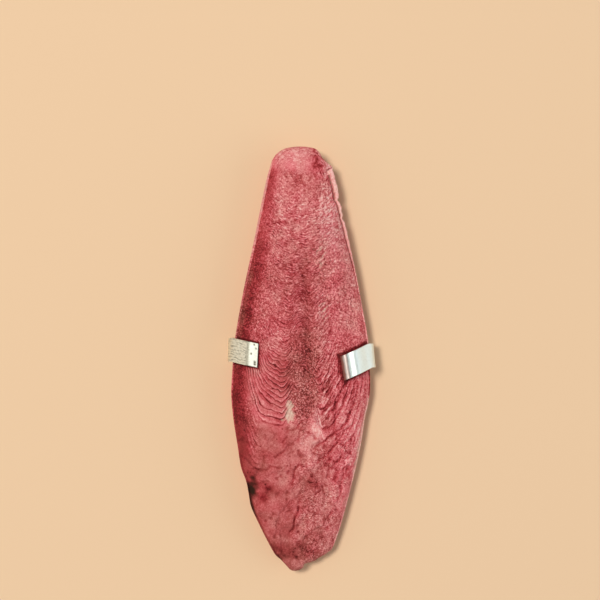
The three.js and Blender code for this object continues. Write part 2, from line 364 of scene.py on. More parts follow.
# Each pit's place, radius and depth.
pit_list = [
    (3.7, -40.8, 0.5, 0.9), (-4.7, -39.5, 0.42, 0.7), (-7.1, -40.7, 0.42, 0.6), (-3.6, -43.3, 0.45, 0.6),
    (-1.2, -60.7, 0.42, 0.6), (-8.0, -58.0, 0.36, 0.4), (-5.6, 65.0, 0.45, 0.5), (-12.6, -57.0, 0.4, 0.3),
    (-2.9, -32.2, 0.36, 0.4), (4.7, -27.6, 0.36, 0.4), (-11.3, -45.3, 0.85, 0.35), (5.6, -43.6, 0.4, 0.4),
    (9.0, -59.4, 0.6, 0.5), (-0.7, -49.9, 0.45, 0.4), (2.3, -56.8, 0.4, 0.4), (7.6, -15.8, 0.45, 0.5),
    (13.6, -44.6, 0.42, 0.5), (11.4, -42.2, 0.4, 0.4), (1.2, 61.2, 0.5, 0.35), (0.9, 6.6, 0.4, 0.4),
    (-7.2, 16.4, 0.5, 0.4), (-11.0, 45.8, 0.6, 0.3), (-4.3, -46.6, 0.4, 0.3), (-10.4, -35.2, 0.4, 0.3),
]
pits = np.max([deep * patch(px, py, size) for px, py, size, deep in pit_list], axis=0)
# Many smaller holes lie scattered over the last chamber, as in old pumice.
holes = fade(0.42, 0.6, uneven(1.9, 83.1)) * np.clip(loculus + 0.12 * rough_centre, 0, 1)
holes = holes * fade(-20, -4, x + 14 * fade(-50, -62, y)) * 0.4


def flake_edge(size, seed):
    """Where a thin flake has broken away, and how near its wandering edge is."""
    level = mottle(x * 1.2, y, z_guess, size, seed) + 0.1 * middling
    return fade(-0.03, 0.05, level), spot(level + 0.02, 0.05)


wide_flake, wide_edge = flake_edge(9.0, 41.3)
small_flake, small_edge = flake_edge(4.6, 47.9)

# The chip: flakes that broke off the ends of the left lobe's lines and show undyed chalk.
CHIP_TOP = -13.3
CHIP_LENGTH = 8.4
chip_down = (CHIP_TOP - y) / CHIP_LENGTH
chip_out = np.abs(x + 4.4 - 0.5 * np.sin(3.0 * chip_down))
chip_out = chip_out / (0.9 + 1.6 * np.clip(chip_down, 0, 0.8))
chips = fade(1.6, 0.2, chip_out + 0.35 * middling + 0.3 * knobbly)
chips = chips * fade(0, 0.15, chip_down + 0.1 * knobbly)
chips = chips * fade(1.08, 0.92, chip_down + 0.12 * knobbly)
lump = fade(1.5, 0.7, np.hypot(x + 2.0, (y + 17.5) * 1.3) + 0.6 * knobbly)

# The dark stain on the left edge, the dimple at the rear, the broken front and the groove.
stain = patch(-17.6, -45.9, 1.8, wide=0.8, tall=0.5) * 1.7
stain = np.clip(stain + 0.7 * middling + 0.3 * knobbly - 0.35, 0, 1)
stain = stain * fade(-12, -15, x) * stretch(-56, -52, -40, -36)
edge_stain = fade(1.3, 0.5, from_left + 0.4 * middling) * stretch(-58, -53, -47, -43)
stain = np.maximum(stain, 0.75 * edge_stain)
dimple = fade(2.4, 1.0, np.hypot(x + 1.1, y - 63.4) + 0.6 * middling)
broken_front = fade(-60, -66, y + 0.8 * x) * fade(0.5, 2.5, x + 0.9 * middling)
front_strip = fade(-64.0, -66, y + 0.8 * middling) * fade(-71.5, -69.5, y) * fade(4, 0, x)
groove_x = 1.3 + 1.4 * fade(32, -20, y)
groove = fade(44, 24, y) * fade(-25, -17, y) * spot(x - groove_x + 0.3 * middling, 2.1)

# The belly: a flat-topped dome, with the pad at its rear and everything above worked into it.
belly_z = top + dome_height(y) * (1 - np.clip(np.abs(across), 0, 1) ** 2.4) ** 0.62
belly_z = belly_z + 0.4 * fade(64.8, 67.2, y + 0.8 * middling)
belly_z = belly_z - GROOVE_DEPTH * groove - 0.4 * dimple - 0.4 * chips + 0.35 * lump
belly_z = belly_z - 1.1 * patch(-17.8, -46.0, 1.0, wide=1 / 2.4, tall=1 / 4)
belly_z = belly_z - 0.5 * patch(-11.1, -45.4, 1.1, tall=0.8) - 0.5 * patch(-13.2, -49.4, 1.3)
belly_z = belly_z - broken_front * (0.5 + 0.5 * middling) - 0.3 * front_strip
open_belly = fade(0.2, 2.2, np.minimum(from_left, from_right))
flakes = loculus * (0.45 * wide_flake + 0.32 * small_flake) + 0.1 * right_lobe * small_flake
scale_height = (0.16 + 0.14 * fade(2, 7, x)) * striated + 0.12 * right_lobe
scale_height = scale_height + 0.03 * left_lobe + 0.03 * rough_centre + 0.06 * (loculus - calm)
relief = flakes + scale_height * scales + (0.08 + 0.3 * loculus) * lumpy
relief = relief + (0.07 + 0.05 * loculus - 0.05 * calm + 0.05 * striated) * middling
fine_height = 0.1 + 0.06 * rough_centre + 0.04 * striated - 0.05 * left_lobe - 0.06 * calm
relief = relief + fine_height * (knobbly + fine)
belly_z = belly_z + ridges + relief * (0.3 + 0.7 * open_belly) + 0.16 * broad * open_belly
belly_z = belly_z - cracks - pits - holes - 0.3 * splits

# The hard back: a broad middle rib between two furrows, and a skin of fine pimples.
on_furrow = spot(np.abs(across) - 0.3, 0.12)
arch = np.abs(across) ** 2.1 * (margin_height(y) - back_low(y))
furrows = FURROW_DEPTH * on_furrow * fade(70, 40, y)
back_lines = 0.035 * np.sin(2 * np.pi * (y - 15 * across**2 + 0.6 * middling) / 2.4)
back_lines = back_lines * fade(1.0, 0.7, np.abs(across))
pimples = 0.11 * np.clip(mottle(x, y, back_low(y), 1.0, 41.3) + 0.1, 0, 1)
pimples = pimples * fade(1.0, 0.8, np.abs(across))
back_z = back_low(y) + arch + furrows + back_lines - pimples + 0.12

rim = on_left_rim | on_right_rim
z = np.where(on_belly, belly_z, np.where(on_back, back_z, top - rim_drop))
z = z + np.where(rim, 0.1 * fine + 0.08 * middling, 0)
middle = margin_height(y) + RIM_THICKNESS / 2
z = middle + (z - middle) * fullness
z = np.maximum(z, 0.0)

# The dye lies unevenly. A soft band along the left edge is darkest, partly from deeper dye and partly as
# painted shade on the bone's left side.
band_edge = from_left + 1.6 * fade(44, 62, y) - 1.2 * spot(y - 34, 9) + 1.3 * lumpy + 0.8 * middling
left_band_dye_and_shade = fade(7.2, 2.6, band_edge) * fade(70, 64, y) * fade(-50, -40, y)
unevenness = (0.09 * broad + 0.08 * lumpy + 0.04 * middling) * (1 - 0.6 * left_band_dye_and_shade)
dye_and_shade = 0.44 + unevenness * (1 - 0.35 * loculus - 0.5 * right_lobe)
dye_and_shade = dye_and_shade + left_band_dye_and_shade * (0.25 + 0.2 * fade(40, 10, y) - 0.24 * fade(-21, -31, y) + 0.08 * broad)
brown_edge = fade(3.0, 1.8, from_left + 0.5 * middling) * fade(36, 28, y) * fade(-8, 4, y)
# The added dark within 1.4 mm of the left edge towards the front is a painted shadow line.
dye_and_shade = dye_and_shade - 0.12 * brown_edge + 0.2 * fade(1.4, 0.4, from_left) * fade(-30, -40, y)

# It pooled in the dimple, the rough centre and the hollows of the front; the groove is darkened as painted
# shade.
red_wedge = patch(5.4 + 0.22 * (70 - y), 69.6, 1.5, tall=0.4, ragged=0.9 * middling + 0.9 * knobbly)
red_flush = patch(-10.5 + 0.15 * (y - 14), 14, 4.0, tall=0.6, ragged=middling)
red_hollows = patch(-11.3, -45.6, 1.8) + patch(-13.2, -48.9, 1.7, tall=0.8, ragged=0.5 * middling)
dye_and_shade = dye_and_shade + 0.14 * groove + 0.07 * rough_centre + 0.13 * dimple + 0.07 * flank
dye_and_shade = dye_and_shade + 0.07 * stretch(-28, -18, 36, 50) * spot(x, 6)
dye_and_shade = dye_and_shade + 0.09 * left_lobe + 0.05 * right_lobe + 0.05 * calm
dye_and_shade = dye_and_shade + (0.04 + 0.03 * fade(-48, -58, y)) * loculus
dye_and_shade = dye_and_shade + 0.4 * red_wedge * np.clip(1 + 1.6 * fine, 0.2, 1.6)
dye_and_shade = dye_and_shade + 0.24 * red_hollows + 0.1 * red_flush
dye_and_shade = dye_and_shade + 0.2 * front_strip + 0.08 * broken_front + 0.3 * stain
dye_and_shade = dye_and_shade + 0.6 * np.clip(cracks, 0, 0.6) + 0.45 * np.clip(pits + holes, 0, 0.6) + 0.3 * splits
dye_and_shade = dye_and_shade + loculus * (0.1 * wide_edge + 0.08 * small_edge - 0.07 * wide_flake) * (1 - 0.4 * calm)
dye_and_shade = dye_and_shade - 0.09 * scales * (striated + 0.8 * right_lobe)
dye_and_shade = dye_and_shade + 0.15 * left_lobe * mottle(np.floor(line_count) * 3.7, around * 0.12, 0 * x, 1.0, 97.3)

# It stayed pale on the pad, beside the chip, and where the belly was rubbed; the pale streaks right of the
# middle are a painted highlight.
pale_zone = patch(5.6, -23.5, 2.6, wide=0.85, tall=0.36, ragged=0.8 * middling + 0.5 * knobbly)
leaning = mottle((x - y) / 1.0, (x + y) / 3.4, 0 * x, 1.0, 63.1)
pale_streak_highlights = spot(np.hypot((x - 7.0 - 0.06 * (y - 37)) * 0.8, (y - 37) * 0.27), 2.0)
pale_streak_highlights = np.maximum(pale_streak_highlights, patch(8.2, 17.7, 1.8, wide=0.8, tall=0.3))
pale_streak_highlights = pale_streak_highlights * fade(-0.25, 0.3, leaning + 0.2 * knobbly)
dye_and_shade = dye_and_shade - 0.14 * fade(64, 68, y) - 0.02 * fade(-70, -72, y) - 0.06 * stretch(40, 46, 58, 62)
dye_and_shade = dye_and_shade - 0.11 * fade(0.3, 0.8, across) * fade(60, 50, y) - 0.05 * fade(4, 8, x) * fade(34, 42, y)
dye_and_shade = dye_and_shade - 0.12 * patch(-4.8, -17.5, 3.2, tall=0.6) - 0.12 * lump - 0.34 * pale_zone
dye_and_shade = dye_and_shade - 0.15 * patch(0, -33, 5.5) - 0.2 * pale_streak_highlights
dye_and_shade = dye_and_shade - 0.08 * stretch(-48, -42, -22, -16) * fade(14, 17, x)

# Bare chalk shows in the chip, streaked as it flaked, and thinly in the pale places; on the pale streaks
# its colour is a painted highlight.
chip_streaks = mottle((x + 0.6 * y) / 0.8, (y - 0.6 * x) / 3.0, 0 * x, 1.0, 53.9)
chip_bare = 0.72 + 0.22 * chip_streaks - 0.2 * spot(line_part - 0.9, 0.16)
bare_and_highlight = np.maximum(chips * chip_bare * (1 - lump), 0.14 * pale_zone)
bare_and_highlight = np.maximum(bare_and_highlight, 0.5 * pale_streak_highlights)

# Painted shadow: the bone is darkened under the holder's tabs and close round them, where they shade it.
off_left_tab = np.maximum(np.abs(y - 1.5 + 0.209 * (x + 15.2)) - 4.24, x + 15.2)
right_tab_y = y - 0.447 * (x - 14.45)
off_right_tab = np.maximum(np.abs(right_tab_y + 3.0) - 4.52, 14.45 - 0.17 * (y + 3) - x)
off_right_tab = off_right_tab + 0.5 * fade(-3, -5, right_tab_y) * fade(15.5, 16.5, x)
left_tab_painted_shadow = fade(0.9, 0.3, off_left_tab + 0.3 * knobbly)
right_tab_painted_shadow = fade(1.7, 0.7, off_right_tab + 0.4 * knobbly)
dye_and_shade = dye_and_shade + 0.55 * np.maximum(left_tab_painted_shadow, right_tab_painted_shadow)

# How far the dye stayed bright crimson: it turned dull where it lies thin or was rubbed.
bright_hollows = np.clip(cracks + pits + splits + red_wedge + red_hollows, 0, 1)
crimson = 0.66 + 0.4 * left_band_dye_and_shade - 0.3 * rough_centre - 0.1 * groove + 0.5 * lumpy
crimson = crimson + 0.6 * bright_hollows - 0.8 * brown_edge - 0.4 * fade(-69, -72, y) + 0.4 * red_flush
crimson = crimson - 0.3 * fade(11, 14, x) * fade(4, 14, y) + 0.35 * fade(8, 13, x) * fade(-46, -38, y)
crimson = crimson - 0.32 * loculus * fade(16, 8, x)

# The thin rim took little dye, on the right least of all, and the right edge is paler still between the tab
# and the front.
right_bare = 0.24 + 0.12 * fade(30, 50, y) + 0.04 * fade(20, 10, y)
right_bare = right_bare + 0.27 * fade(0, -20, y) * fade(-50, -38, y)
left_bare = 0.12 + 0.28 * fade(28, 45, y)
pale_right_foot = fade(1.4, 0.5, from_right + 0.4 * middling) * on_belly * stretch(-42, -36, -24, -18)
bare_and_highlight = np.where(rim, np.where(on_right_rim, right_bare, left_bare), bare_and_highlight)
bare_and_highlight = np.maximum(bare_and_highlight, 0.12 * fade(-69, -72, y))
bare_and_highlight = np.maximum(bare_and_highlight, 0.6 * pale_right_foot)
right_dye = 0.26 - 0.21 * fade(30, 50, y)
# On the left rim the added dark towards the front is a painted shadow line along the edge.
left_rim_dye_and_shadow = 0.34 + 0.16 * fade(42, 28, y) + 0.2 * fade(-12, -30, y)
dye_and_shade = np.where(rim, np.where(on_right_rim, right_dye, left_rim_dye_and_shadow), dye_and_shade)
# Painted shade: the crevice where the body meets the right ledge is coloured deepest red.
rim_crevice_painted_shade = on_right_rim & (rim_step <= 1) & (y > 18) & (y < 65)
dye_and_shade = np.where(rim_crevice_painted_shade, 0.95, dye_and_shade)
# Painted shadow of the right tab on the right rim beneath it.
rim_painted_tab_shadow = on_right_rim * stretch(-15, -11, -5, -2)
dye_and_shade = dye_and_shade + 0.55 * rim_painted_tab_shadow
bare_and_highlight = bare_and_highlight * (1 - rim_painted_tab_shadow)

# The back is an even pink, a little deeper in its furrows.
dye_and_shade = np.where(on_back, 0.33 + 0.1 * broad + 0.05 * middling + 0.12 * on_furrow, dye_and_shade)
bare_and_highlight = np.where(on_back, 0.12 + 0.1 * middling, bare_and_highlight)
stain = np.where(on_back, 0, stain)

# How much of each grain shows: flecks along the lines, a soft grain, and crumbs of chalk.
FULL_RIDGE = 0.2
line_depth = np.where(on_belly, (ridge_height + 0.03 * right_lobe * patches) / FULL_RIDGE, 0)
pad = fade(64.5, 67, y)
lobe_calm = clean_lobe * fade(92, 89, last_line)
fleck_amount = (0.5 + 0.35 * fade(3, 8, x)) * fade(4, 12, growth) * lined * (1 - clean_lobe)
fleck_amount = (0.1 + fleck_amount) * (1 - 0.95 * rough_centre) * (1 - 0.7 * left_band_dye_and_shade)
fleck_amount = fleck_amount + 0.15 * left_lobe + 0.1 * (loculus - calm)
fleck_amount = np.where(on_belly, fleck_amount * (1 - 0.6 * flank), 0)
grain_amount = 0.85 - 0.3 * pad - 0.45 * lobe_calm - 0.1 * right_lobe
grain_amount = grain_amount - 0.35 * loculus - 0.2 * calm - 0.15 * rough_centre
grain_amount = grain_amount * (1 + 0.6 * uneven(6.0, 33.9)) - 0.35 * left_band_dye_and_shade - 0.3 * dimple
grain_amount = np.where(on_back, 0.6, np.clip(grain_amount, 0.15, 1.3))
crumb_amount = 0.8 + 0.1 * loculus + 0.7 * (loculus - calm) * uneven(5.0, 67.7) - 0.55 * calm
crumb_amount = crumb_amount - 0.3 * pad - 0.1 * left_band_dye_and_shade - 0.45 * lobe_calm
crumb_amount = crumb_amount + 0.6 * rough_centre - 0.45 * pale_zone + 0.35 * flank
crumb_amount = np.where(on_back, 0.5, np.clip(crumb_amount, 0.25, 1.4))

# The last column is the first one again, so the grid's long sides meet point on point.
first_column = np.flatnonzero(column == 0)
first_column = first_column[np.argsort(row[first_column])]
for coordinate in (x, y, z):
    coordinate[closing] = coordinate[first_column[row[closing]]]

# The paint's red is the dye's depth with the painted shade, green is bare chalk with the painted
# highlights, blue is the dark stain, and alpha is how bright the dye stayed.
paint_layer = bone_bmesh.verts.layers.float_color.new("paint")
lines_layer = bone_bmesh.verts.layers.float_vector.new("growth_lines")
grain_layer = bone_bmesh.verts.layers.float_vector.new("grain_mix")
bare_and_highlight = np.maximum(bare_and_highlight, 0.0)
crimson = np.clip(crimson, 0.0, 1.0)
for i, vertex in enumerate(bone_bmesh.verts):
    vertex.co = Vector((x[i], y[i], z[i])) * MM
    vertex[paint_layer] = (dye_and_shade[i], bare_and_highlight[i], stain[i], crimson[i])
    vertex[lines_layer] = (line_count[i], around[i], line_depth[i])
    vertex[grain_layer] = (fleck_amount[i], grain_amount[i], crumb_amount[i])

# The grid's two long sides meet as a tube, whose ends are pressed shut.
bmesh.ops.remove_doubles(bone_bmesh, verts=bone_bmesh.verts, dist=0.002 * MM)
open_edges = [edge for edge in bone_bmesh.edges if edge.is_boundary]
bmesh.ops.holes_fill(bone_bmesh, edges=open_edges, sides=4)
bmesh.ops.recalc_face_normals(bone_bmesh, faces=bone_bmesh.faces)
for face in bone_bmesh.faces:
    face.smooth = True
bone_mesh = bpy.data.meshes.new("dyed_bone")
bone_bmesh.to_mesh(bone_mesh)
bone_bmesh.free()
bone = bpy.data.objects.new("dyed_bone", bone_mesh)
bpy.context.scene.collection.objects.link(bone)


def linear(hex_colour, alpha=1.0):
    """An sRGB hex colour as the linear colour that shaders read."""
    channels = [int(hex_colour[i:i + 2], 16) / 255 for i in (1, 3, 5)]
    straight = [c / 12.92 if c <= 0.04045 else ((c + 0.055) / 1.055) ** 2.4 for c in channels]
    return (*straight, alpha)


def add_node(tree, kind, inputs=(), **settings):
    """Adds a node with its settings and inputs, each a value or a (node, output) pair to link."""
    made = tree.nodes.new(kind)
    for name, setting in settings.items():
        setattr(made, name, setting)
    for key, value in dict(inputs).items():
        if isinstance(value, tuple) and isinstance(value[0], bpy.types.Node):
            tree.links.new(value[0].outputs[value[1]], made.inputs[key])
        else:
            made.inputs[key].default_value = value
    return made


def combine(tree, operation, *values, **settings):
    """The result of a sum on one, two or three values."""
    return add_node(tree, "ShaderNodeMath", dict(enumerate(values)), operation=operation, **settings), 0


def cloud(tree, place, scale, detail, roughness):
    """Cloudy noise from 0 to 1."""
    inputs = {"Vector": place, "Scale": scale, "Detail": detail, "Roughness": roughness}
    return add_node(tree, "ShaderNodeTexNoise", inputs), 0


def remap(tree, value, start, end, low=0.0, high=1.0, kind="LINEAR"):
    """The value from start to end, turned into low to high and held there."""
    inputs = {"Value": value, "From Min": start, "From Max": end, "To Min": low, "To Max": high}
    return add_node(tree, "ShaderNodeMapRange", inputs, interpolation_type=kind), 0


def blend(tree, amount, under, over):
    """One colour laid over another by an amount from 0 to 1."""
    return add_node(tree, "ShaderNodeMix", {0: amount, 6: under, 7: over}, data_type="RGBA"), 2


def bump(tree, height, strength, depth, beneath=None, **settings):
    """A bump of the given depth in millimetres, over the one beneath it."""
    inputs = {"Height": height, "Strength": strength, "Distance": depth * MM}
    if beneath:
        inputs["Normal"] = beneath
    return add_node(tree, "ShaderNodeBump", inputs, **settings), 0


# Dyed aragonite chalk: matt and porous, so it has almost no gloss. The dye colours the grain
# unevenly; the crevice under each growth line is dark with dye and painted shade, and its raised
# edge is pale from wear and a painted highlight.
CRUMB_SIZE = 0.34
SOFT_GRAIN_SIZE = 0.8
PORE_GAP = 2.4
BLOTCH_SIZE = 4.5
FLECKS_PER_LINE = 1.9
FLECKS_PER_MM = 0.52

chalk = bpy.data.materials.new("dyed_aragonite_chalk")
chalk.use_nodes = True
tree = chalk.node_tree
tree.nodes.clear()
bone_place = add_node(tree, "ShaderNodeTexCoord"), "Object"
paint = add_node(tree, "ShaderNodeAttribute", attribute_name="paint")
painted = add_node(tree, "ShaderNodeSeparateColor", {"Color": (paint, "Color")})
lines = add_node(tree, "ShaderNodeAttribute", attribute_name="growth_lines"), "Vector"
line_parts = add_node(tree, "ShaderNodeSeparateXYZ", {"Vector": lines})
grain_mix = add_node(tree, "ShaderNodeAttribute", attribute_name="grain_mix"), "Vector"
mix_parts = add_node(tree, "ShaderNodeSeparateXYZ", {"Vector": grain_mix})

# Crumbs of chalk each took the dye differently, over a softer grain, with dyed pores here and
# there. Flecks lie along the growth lines, 0.5 mm wide and 1.9 mm long.
soft_grain = cloud(tree, bone_place, 1 / (SOFT_GRAIN_SIZE * MM), 1.0, 0.5)
blotch = cloud(tree, bone_place, 1 / (BLOTCH_SIZE * MM), 4.0, 0.6)
crumb_cells = {"Vector": bone_place, "Scale": 1 / (CRUMB_SIZE * MM)}
crumbs = add_node(tree, "ShaderNodeTexVoronoi", crumb_cells), "Color"
crumb_tone = add_node(tree, "ShaderNodeSeparateColor", {"Color": crumbs}), "Red"
pore_cells = {"Vector": bone_place, "Scale": 1 / (PORE_GAP * MM)}
pores = add_node(tree, "ShaderNodeTexVoronoi", pore_cells), "Distance"
pore_dye = remap(tree, pores, 0.07, 0.16, 0.26, 0.0)
fleck_sizes = {"Vector": lines, "Scale": (FLECKS_PER_LINE, FLECKS_PER_MM, 0.0)}
fleck_place = add_node(tree, "ShaderNodeMapping", fleck_sizes), "Vector"
flecks = cloud(tree, fleck_place, 1.0, 3.0, 0.65)

# Dye and painted shade in the crevice between two growth lines, and the worn edge with a painted
# highlight half-way up each line.
part = combine(tree, "FRACT", (line_parts, "X"))
crevice_line = remap(tree, part, 0.78, 0.92, kind="SMOOTHSTEP")
crevice_start = remap(tree, part, 0.0, 0.1, 1.0, 0.0, kind="SMOOTHSTEP")
crevice_both = combine(tree, "MAXIMUM", crevice_line, crevice_start)
crevice_dye_and_shade = combine(tree, "MULTIPLY", crevice_both, (line_parts, "Z"))
lit_edge = remap(tree, part, 0.35, 0.68, kind="SMOOTHSTEP")
lit_edge_highlight = combine(tree, "MULTIPLY", lit_edge, (line_parts, "Z"))

grains = []
for texture, amount in ((flecks, "X"), (soft_grain, "Y"), (crumb_tone, "Z")):
    grain_even = combine(tree, "SUBTRACT", texture, 0.5)
    grains.append(combine(tree, "MULTIPLY", grain_even, (mix_parts, amount)))
fleck_part, grain_part, crumb_part = grains

depth = combine(tree, "ADD", pore_dye, (painted, "Red"))
grain_gains = [(crumb_part, 0.46), (grain_part, 0.6), (fleck_part, 2.15), (blotch, 0.4)]
line_gains = [(crevice_dye_and_shade, 0.85), (lit_edge_highlight, -0.3)]
for layer, gain in grain_gains + line_gains:
    depth = combine(tree, "MULTIPLY_ADD", layer, gain, depth)
depth = combine(tree, "SUBTRACT", depth, 0.2, use_clamp=True)


def dye_ramp(pale, deep, between):
    """The dye's colour from pale to deep, with stops in between."""
    node = add_node(tree, "ShaderNodeValToRGB", {"Fac": depth})
    node.color_ramp.elements[0].color = linear(pale)
    node.color_ramp.elements[1].color = linear(deep)
    for position, colour in between:
        node.color_ramp.elements.new(position).color = linear(colour)
    return node, "Color"


dull_dye = dye_ramp(
    "#f0c4ba",
    "#541a18",
    [(0.2, "#de9792"), (0.4, "#c57672"), (0.55, "#ab5653"), (0.7, "#934540"), (0.85, "#78302c")],
)
bright_dye = dye_ramp(
    "#f8c0be",
    "#5e1216",
    [(0.2, "#ea8f92"), (0.4, "#d46870"), (0.55, "#bd4b51"), (0.7, "#a23338"), (0.85, "#842126")],
)
dye_and_shade_colour = blend(tree, (paint, "Alpha"), dull_dye, bright_dye)
# Bare chalk, which also lays the painted highlight on the pale streaks.
bare_and_highlight_edge = combine(tree, "MULTIPLY_ADD", soft_grain, 0.6, (painted, "Green"))
bare_and_highlight_amount = remap(tree, bare_and_highlight_edge, 0.5, 1.2)
chalk_colour = blend(tree, bare_and_highlight_amount, dye_and_shade_colour, linear("#e2c8b5"))
chalk_colour = blend(tree, (painted, "Blue"), chalk_colour, linear("#2e180e"))
line_bump = bump(tree, crevice_dye_and_shade, 0.6, 0.15, invert=True)
fleck_bump = bump(tree, fleck_part, 0.9, 0.8, line_bump)
grain_bump = bump(tree, grain_part, 0.9, 0.35, fleck_bump)
chalk_looks = {"Base Color": chalk_colour, "Normal": grain_bump}
chalk_looks.update({"Roughness": 0.75, "Specular IOR Level": 0.15})
surface = add_node(tree, "ShaderNodeBsdfPrincipled", chalk_looks)
add_node(tree, "ShaderNodeOutputMaterial", {"Surface": (surface, 0)})
bone_mesh.materials.append(chalk)
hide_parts("cuttlebone")
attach(bone, "root")


# The holder: one strip of thin soft tin sheet, cut with shears, laid under the bone's back and
# bent up round both edges by hand. The left tab was folded from a used, lightly embossed piece of
# the sheet and ends in a flat lip; the right tab is smooth and curls down at its end.
STRIP_WIDTH = 8.4
STRIP_THICKNESS = 0.45
STRIP_FLAT = 9.0
STRIP_RISE = 0.024
FOLD_OUT = 25.6
EMBOSS_SPACING = 0.95
STRIP_STEPS = 420
STRIP_LANES = 32
LEFT_TAB = [(15.2, 15.0), (17, 15.1), (18.4, 15.1), (19, 14.9), (21, 13.6), (22.8, 12.35)]
RIGHT_TAB = [
    (14.45, 15.3), (14.75, 15.66), (15.1, 16.02), (15.5, 16.28), (16.0, 16.4), (16.5, 16.3), (16.95, 16.08),
    (17.45, 16.02), (18.7, 16.1), (19.5, 15.88), (20.3, 15.25), (21.4, 14.15), (22.8, 12.6),
]
FOLD = [(24.3, 11.1), (25.2, 10), (25.6, 8.7), (25.45, 7.3), (24.5, 6)]
# For each side: where the tab's tip lies, where its fold lies, and how far it leans.
TAB_ENDS = {-1: (1.5, 3.4, 0.05), 1: (-3.0, 1.4, -0.17)}


def bent_side(side, tab):
    """Places along one bent-up end of the strip, from its tip to where it goes under the bone."""
    tip_y, fold_y, lean = TAB_ENDS[side]
    tip_x = tab[0][0]
    fold_x = FOLD[0][0]
    places = []
    for px, pz in tab:
        to_tip = (fold_x - px) / (fold_x - tip_x)
        places.append((side * px, fold_y + (tip_y - fold_y) * to_tip, pz, lean))
    for i, (px, pz) in enumerate(FOLD):
        places.append((side * px, fold_y, pz, lean * (1 - i / len(FOLD))))
    return places


under = [-22.5, -20, -17.5, -15, -12.5, -10.5, -9, -5, 0, 5, 9, 10.5, 12.5, 15, 17.5, 20, 22.5]
left_y, right_y = TAB_ENDS[-1][1], TAB_ENDS[1][1]
back_run = []
for px in under:
    run_y = left_y + (right_y - left_y) * (px + FOLD_OUT) / (2 * FOLD_OUT)
    run_z = STRIP_THICKNESS / 2 + STRIP_RISE * max(abs(px) - STRIP_FLAT, 0) ** 2
    back_run.append((px, run_y, run_z, 0.0))
strip_path = np.array(bent_side(-1, LEFT_TAB) + back_run + bent_side(1, RIGHT_TAB)[::-1])
walked = np.r_[0, np.cumsum(np.linalg.norm(np.diff(strip_path[:, :3], axis=0), axis=1))]
path_x, path_y, path_z, path_lean = [smooth_curve(*zip(walked, values)) for values in strip_path.T]

strip_bmesh = bmesh.new()
bmesh.ops.create_grid(strip_bmesh, x_segments=STRIP_STEPS, y_segments=STRIP_LANES, size=1.0)
flat = np.array([vertex.co for vertex in strip_bmesh.verts])
run = (flat[:, 0] + 1) / 2 * walked[-1]
beside = flat[:, 1] * STRIP_WIDTH / 2
step = 0.15
centre = np.c_[path_x(run), path_y(run), path_z(run)]
ahead = np.c_[path_x(run + step), path_y(run + step), path_z(run + step)]
behind = np.c_[path_x(run - step), path_y(run - step), path_z(run - step)]
heading = (ahead - behind) / np.linalg.norm(ahead - behind, axis=1)[:, None]
sideways = np.c_[path_lean(run), np.ones(len(run)), np.zeros(len(run))]
inward = np.cross(heading, sideways)
inward = inward / np.linalg.norm(inward, axis=1)[:, None]

# Embossed wavy grooves run along the left tab and stop at the lip's crease.
ripple = mottle(run / 2.2, beside / 1.4, 0 * run, 1.0, 13.3)
worn = mottle(run / 1.8, beside / 0.9, 0 * run, 1.0, 19.9)
crumpled = mottle(run / 0.8, beside / 0.6, 0 * run, 1.0, 37.1)
embossed = fade(4.0, 4.4, run) * fade(16, 12, run) * fade(4.2, 3.9, np.abs(beside))
groove_wave = np.sin(2 * np.pi * (beside / EMBOSS_SPACING + 0.7 * ripple))
emboss = embossed * (groove_wave * np.clip(0.55 + 1.3 * worn, 0, 1) + 0.7 * crumpled)
dents = 0.1 * mottle(run, beside, 0 * run, 5.0, 29.1) + 0.03 * mottle(run, beside, 0 * run, 2.2, 31.7)
# Specks of grime near the left tip: how far along, how far beside, and how big.
specks = [(1.4, 3.5, 0.25), (0.7, 2.3, 0.22), (2.3, 0.2, 0.26), (0.9, -2.5, 0.34), (0.9, -3.2, 0.34)]
speck = np.max([spot(np.hypot(run - pr, beside - pb), size) for pr, pb, size in specks], axis=0)
crease = spot(run - 3.45, 0.7) * fade(40, 30, run)
from_right_tip = walked[-1] - run
from_tips = np.minimum(run, from_right_tip)
push = 0.06 * emboss + 0.5 * dents * fade(0, 3, from_tips) + 0.05 * crease + 0.05 * speck
push = np.where(centre[:, 2] < 2, 0.3 * np.abs(dents), push)
shaped = centre + sideways * beside[:, None] + inward * push[:, None]

marks_layer = strip_bmesh.verts.layers.float_color.new("strip_marks")
sheet_layer = strip_bmesh.verts.layers.float_vector.new("sheet_place")
# Painted reflection of the red bone on the right tab's curled tip.
painted_bone_reflection = 0.58 * fade(2.8, 2.4, from_right_tip + 0.15 * ripple)
painted_bone_reflection = painted_bone_reflection + 0.34 * fade(1.5, 0.9, from_right_tip + 0.3 * ripple)
# The left tab's warmer tone is tarnish together with painted shade.
tarnish_and_shade = (0.5 + 0.5 * fade(3.2, 3.8, run)) * fade(24, 18, run)
dark = np.clip(0.1 * embossed + 0.55 * emboss, 0, 1)
# Painted shade: the left tab's crease and a band across the right tab's bend are darkened.
dark = dark + 1.8 * speck + 0.8 * crease + 0.16 * fade(3.2, 2.6, run)
dark = dark + 0.45 * spot(from_right_tip - 2.65 + 0.1 * ripple, 0.15)
dark = dark + 0.12 * fade(3.8, 3.3, from_right_tip) * fade(2.4, 2.7, from_right_tip)
